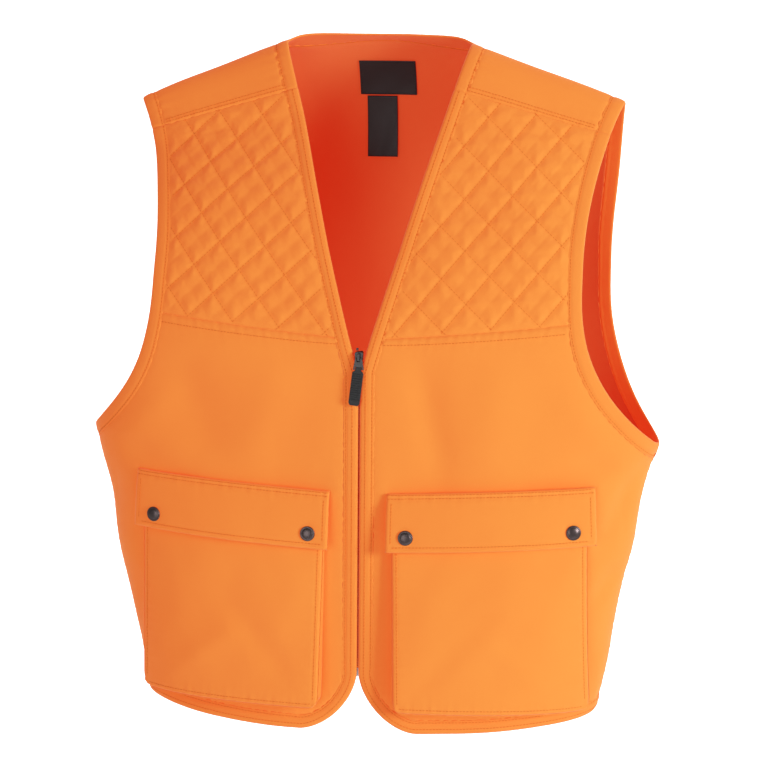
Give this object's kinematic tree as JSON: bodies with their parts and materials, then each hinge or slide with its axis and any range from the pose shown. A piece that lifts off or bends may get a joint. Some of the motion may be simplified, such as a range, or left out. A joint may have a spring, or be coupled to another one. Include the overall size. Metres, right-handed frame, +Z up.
{
  "type": "field vest",
  "caption": "Sleeveless blaze orange field vest with quilted shoulders, a front zip and two bellows pockets under snapped flaps.",
  "frame": {"origin": "midway between the two shoulder points beside the neck", "axes": "+X to the wearer's left, the front faces -Y, +Z up"},
  "size_m": [0.5864, 0.2136, 0.6992],
  "materials": {
    "orange_cloth": "matte woven",
    "orange_binding": "matte woven, stitched",
    "orange_lining": "matte woven",
    "orange_tape": "woven tape",
    "batting": "fibrous",
    "label_black": "satin weave",
    "snap_metal": "dark bronze",
    "slider_metal": "black",
    "pull_plastic": "moulded",
    "coil_plastic": "moulded",
    "stop_metal": "satin"
  },
  "bodies": {
    "back": {"back_panel": "orange_cloth", "yoke_left": "orange_cloth", "yoke_right": "orange_cloth", "neck_binding_back": "orange_binding", "arm_binding_back_left": "orange_binding", "arm_binding_back_right": "orange_binding", "hem_band_back": "orange_binding", "neck_tag": "label_black"},
    "care_label": {"care_tag": "label_black"},
    "front_left": {"front_panel_left": "orange_cloth", "quilt_shell_left": "orange_cloth", "quilt_batting_left": "batting", "quilt_lining_left": "orange_lining", "front_binding_left": "orange_binding", "arm_binding_front_left": "orange_binding", "zip_tape_left": "orange_tape", "zip_coil_left": "coil_plastic", "zip_top_stop_left": "stop_metal", "zip_pin_left": "stop_metal"},
    "pocket_left": {"pocket_front_left": "orange_cloth", "pocket_gusset_left": "orange_cloth", "snap_studs_left": "snap_metal"},
    "flap_left": {"flap_left": "orange_cloth", "snap_caps_left": "snap_metal", "snap_sockets_left": "snap_metal"},
    "front_right": {"front_panel_right": "orange_cloth", "quilt_shell_right": "orange_cloth", "quilt_batting_right": "batting", "quilt_lining_right": "orange_lining", "front_binding_right": "orange_binding", "arm_binding_front_right": "orange_binding", "zip_tape_right": "orange_tape", "zip_coil_right": "coil_plastic", "zip_top_stop_right": "stop_metal", "zip_box_right": "stop_metal"},
    "pocket_right": {"pocket_front_right": "orange_cloth", "pocket_gusset_right": "orange_cloth", "snap_studs_right": "snap_metal"},
    "flap_right": {"flap_right": "orange_cloth", "snap_caps_right": "snap_metal", "snap_sockets_right": "snap_metal"},
    "slider": {"slider_body": "slider_metal"},
    "pull_tab": {"pull_link": "slider_metal"},
    "pull_grip": {"pull_handle": "pull_plastic"}
  },
  "joints": [
    {"name": "open_front_left", "type": "hinge", "parent": "back", "child": "front_left", "pos_m": [0.2665, -0.04, -0.527], "axis": [0.1954, 0, 0.9807], "range_deg": [0, 40]},
    {"name": "lift_flap_left", "type": "hinge", "parent": "front_left", "child": "flap_left", "pos_m": [0.13248, -0.11116, -0.43606], "axis": [-0.9899, -0.134, -0.0454], "range_deg": [0, 150]},
    {"name": "flatten_pocket_left", "type": "hinge", "parent": "front_left", "child": "pocket_left", "pos_m": [0.13137, -0.11074, -0.45812], "axis": [-0.9882, -0.1455, -0.0474], "range_deg": [-2.5, 0], "deforming": ["pocket_gusset_left"]},
    {"name": "open_front_right", "type": "hinge", "parent": "back", "child": "front_right", "pos_m": [-0.2665, -0.04, -0.527], "axis": [0.1954, 0, -0.9807], "range_deg": [0, 40]},
    {"name": "lift_flap_right", "type": "hinge", "parent": "front_right", "child": "flap_right", "pos_m": [-0.13248, -0.11116, -0.43606], "axis": [-0.9899, 0.134, 0.0454], "range_deg": [0, 150]},
    {"name": "flatten_pocket_right", "type": "hinge", "parent": "front_right", "child": "pocket_right", "pos_m": [-0.13137, -0.11074, -0.45812], "axis": [-0.9882, 0.1455, 0.0474], "range_deg": [-2.5, 0], "deforming": ["pocket_gusset_right"]},
    {"name": "zip_slide", "type": "slide", "parent": "front_right", "child": "slider", "axis": [0, 0, -1], "range_m": [0, 0.312]},
    {"name": "pull_tab_swing", "type": "hinge", "parent": "slider", "child": "pull_tab", "pos_m": [0, -0.1193, -0.3056], "axis": [-1, 0, 0], "range_deg": [0, 100]},
    {"name": "pull_grip_swing", "type": "hinge", "parent": "pull_tab", "child": "pull_grip", "pos_m": [0, -0.1193, -0.3156], "axis": [-1, 0, 0], "range_deg": [0, 60]},
    {"name": "lift_care_label", "type": "hinge", "parent": "back", "child": "care_label", "pos_m": [-0.00844, 0.07099, -0.055], "axis": [-1, 0, 0], "range_deg": [0, 100]}
  ]
}
